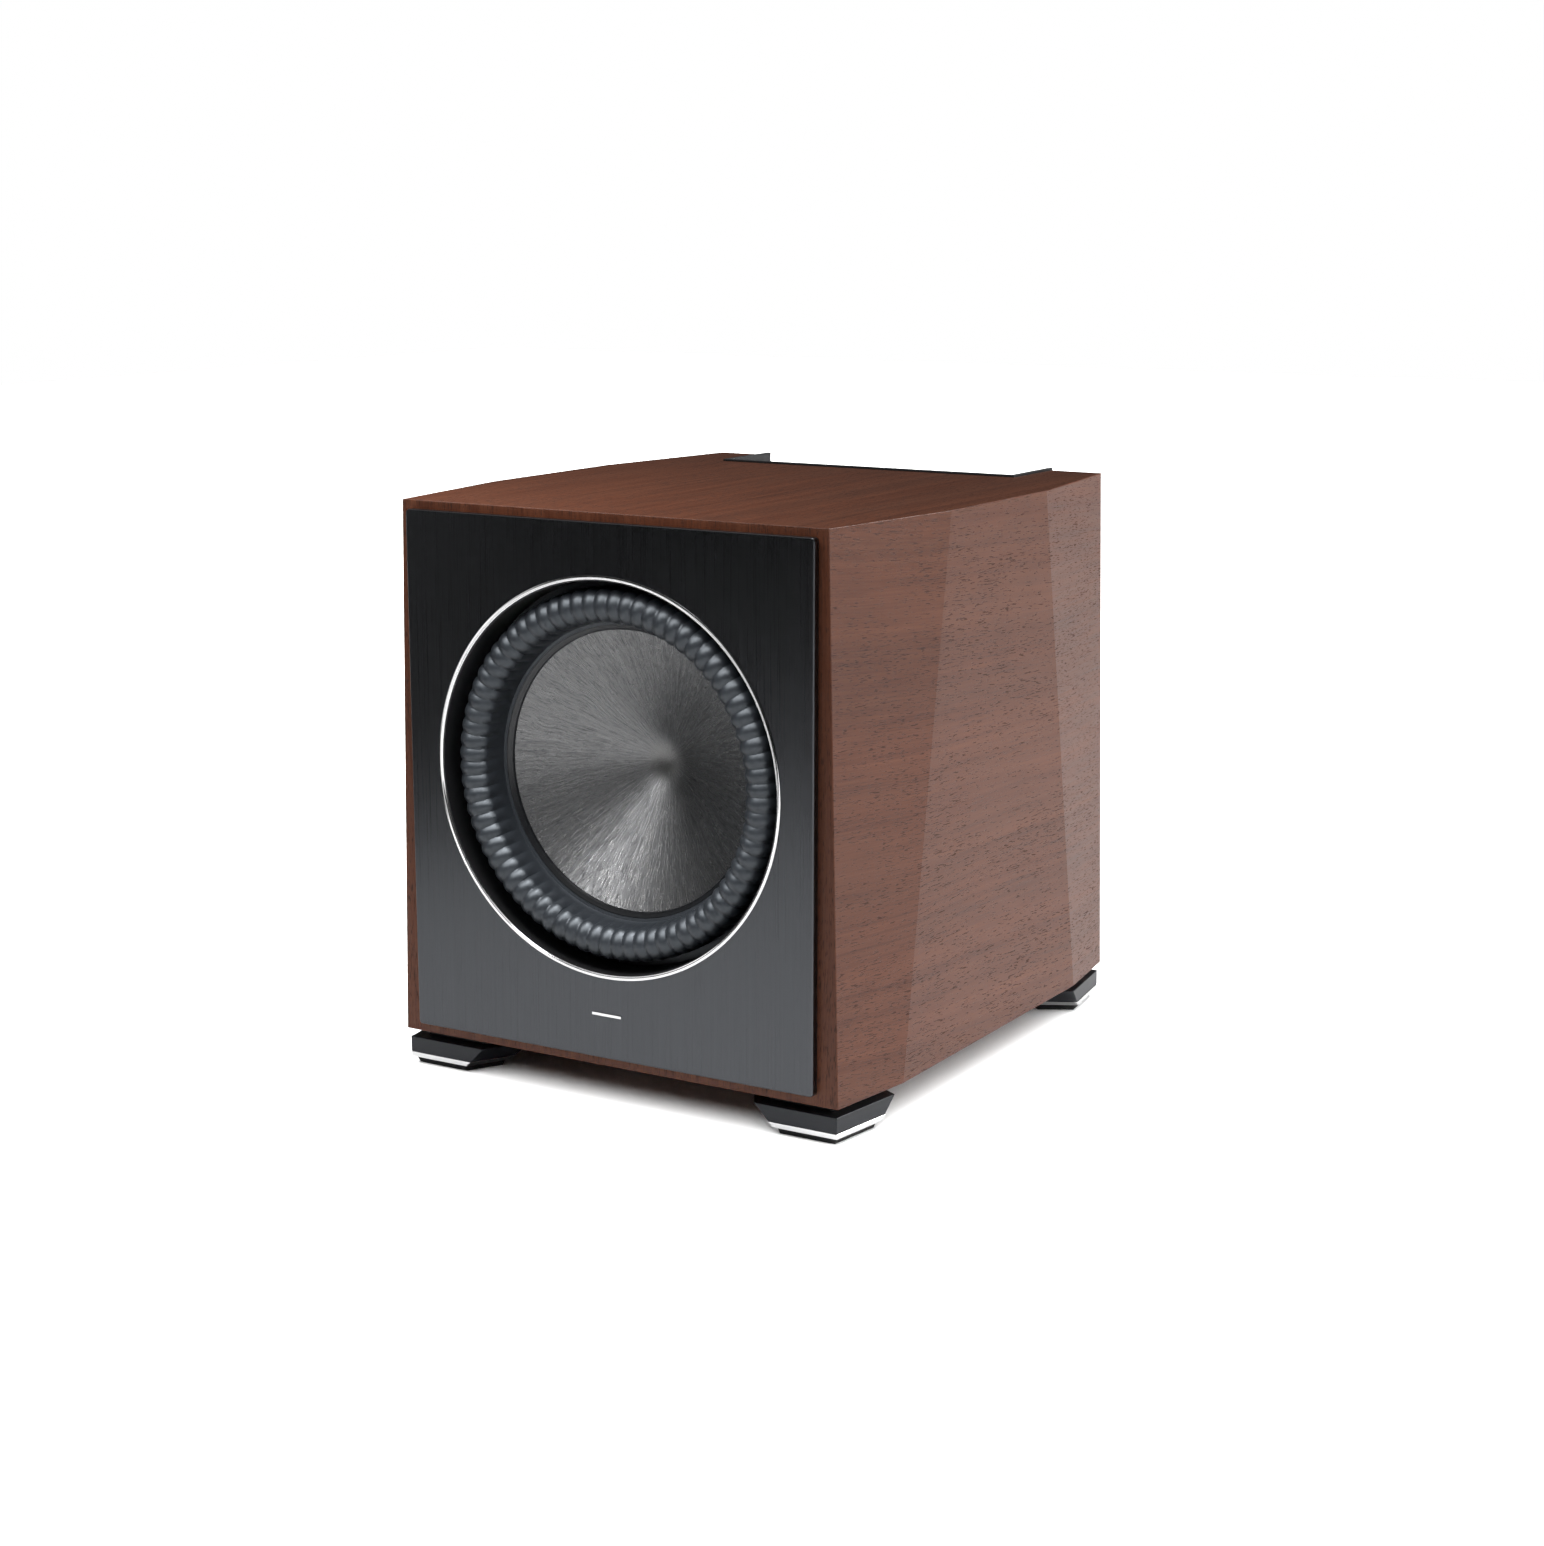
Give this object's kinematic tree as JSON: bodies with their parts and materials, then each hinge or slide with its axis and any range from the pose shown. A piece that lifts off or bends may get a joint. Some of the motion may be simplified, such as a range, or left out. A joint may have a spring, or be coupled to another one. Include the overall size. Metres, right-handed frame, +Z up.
{
  "type": "powered subwoofer",
  "caption": "Faceted wooden subwoofer cabinet with a large front cone driver in a polished ring, a brushed baffle, corner feet and a rear amplifier bay.",
  "frame": {"origin": "on the floor, at the middle of the whole object's plan box", "axes": "+Z is up, the driver faces -Y, +X is to the right seen from the front"},
  "size_m": [0.444, 0.5012, 0.483],
  "materials": {
    "walnut_veneer": "dark walnut veneer, satin lacquer",
    "raw_board": "unfinished fibreboard",
    "brushed_black_metal": "vertically brushed, black anodised",
    "polished_metal": "polished",
    "cast_frame": "black powder coat on a casting",
    "cone_fibre": "fibre composite with a satin coat",
    "surround_rubber": "satin moulded rubber",
    "dark_trim": "satin dark grey",
    "copper_wire": "lacquered copper winding",
    "spider_cloth": "resin-coated woven cloth",
    "plated_steel": "zinc plated",
    "ferrite": "ground ferrite",
    "graphite_casting": "graphite satin paint on a casting",
    "foot_rubber": "matt moulded rubber",
    "black_plastic": "black moulded plastic",
    "black_anodised_alloy": "black anodised",
    "circuit_board_green": "glass-epoxy circuit board",
    "transformer_tape": "copper winding on a steel core, under polyester tape",
    "capacitor_sleeve": "aluminium can in a shrunk sleeve",
    "nickel_plate": "nickel-plated brass",
    "red_insulation": "red cable insulation"
  },
  "bodies": {
    "cabinet": {"left_side_panel": "walnut_veneer", "right_side_panel": "walnut_veneer", "top_panel": "walnut_veneer", "bottom_panel": "walnut_veneer", "back_panel": "walnut_veneer", "front_panel": "raw_board", "window_brace": "raw_board", "baffle_plate": "brushed_black_metal", "trim_ring": "polished_metal", "driver_basket": "cast_frame", "driver_terminal_block": "black_plastic", "level_potentiometer": "dark_trim", "crossover_potentiometer": "dark_trim", "phase_potentiometer": "dark_trim", "surround": "surround_rubber", "spider": "spider_cloth", "top_plate": "plated_steel", "pole_yoke": "plated_steel", "magnet": "ferrite", "magnet_cover": "foot_rubber", "speaker_lead_red": "red_insulation", "speaker_lead_black": "black_plastic", "foot_spacer_front_right": "black_plastic", "foot_body_front_right": "graphite_casting", "foot_plate_front_right": "polished_metal", "foot_pad_front_right": "foot_rubber", "foot_spacer_front_left": "black_plastic", "foot_body_front_left": "graphite_casting", "foot_plate_front_left": "polished_metal", "foot_pad_front_left": "foot_rubber", "foot_spacer_back_right": "black_plastic", "foot_body_back_right": "graphite_casting", "foot_plate_back_right": "polished_metal", "foot_pad_back_right": "foot_rubber", "foot_spacer_back_left": "black_plastic", "foot_body_back_left": "graphite_casting", "foot_plate_back_left": "polished_metal", "foot_pad_back_left": "foot_rubber", "amp_housing": "black_plastic", "rocker_frame": "black_plastic", "mains_inlet": "black_plastic", "amp_panel": "black_anodised_alloy", "heat_sink": "black_anodised_alloy", "amp_board": "circuit_board_green", "transformer": "transformer_tape", "capacitor_left": "capacitor_sleeve", "capacitor_right": "capacitor_sleeve", "line_in_jack_left": "nickel_plate", "line_in_jack_right": "nickel_plate", "trigger_jack": "nickel_plate"},
    "cone_assembly": {"cone": "cone_fibre", "cone_edge_ring": "dark_trim", "coil_former": "dark_trim", "voice_coil": "copper_wire"},
    "level_knob": {"level_knob": "black_plastic"},
    "crossover_knob": {"crossover_knob": "black_plastic"},
    "phase_knob": {"phase_knob": "black_plastic"},
    "auto_on_switch": {"auto_on_switch": "nickel_plate"},
    "power_rocker": {"power_rocker": "black_plastic"},
    "fuse_drawer": {"fuse_drawer": "black_plastic"}
  },
  "joints": [
    {"name": "cone_travel", "type": "slide", "parent": "cabinet", "child": "cone_assembly", "axis": [0, 1, 0], "range_m": [-0.014, 0.014], "stiffness_N_per_m": 4000, "deforming": ["surround", "spider"]},
    {"name": "level_turn", "type": "hinge", "parent": "cabinet", "child": "level_knob", "pos_m": [-0.095, 0.1779, 0.236], "axis": [0, 1, 0], "range_deg": [-150, 150]},
    {"name": "crossover_turn", "type": "hinge", "parent": "cabinet", "child": "crossover_knob", "pos_m": [-0.045, 0.1779, 0.236], "axis": [0, 1, 0], "range_deg": [-150, 150]},
    {"name": "phase_turn", "type": "hinge", "parent": "cabinet", "child": "phase_knob", "pos_m": [0.005, 0.1779, 0.236], "axis": [0, 1, 0], "range_deg": [-150, 150]},
    {"name": "auto_on_flip", "type": "hinge", "parent": "cabinet", "child": "auto_on_switch", "pos_m": [0.06, 0.1779, 0.236], "axis": [1, 0, 0], "range_deg": [0, 24]},
    {"name": "power_rock", "type": "hinge", "parent": "cabinet", "child": "power_rocker", "pos_m": [0.105, 0.1769, 0.156], "axis": [1, 0, 0], "range_deg": [0, 16]},
    {"name": "fuse_drawer_slide", "type": "slide", "parent": "cabinet", "child": "fuse_drawer", "axis": [0, 1, 0], "range_m": [0, 0.012]}
  ]
}
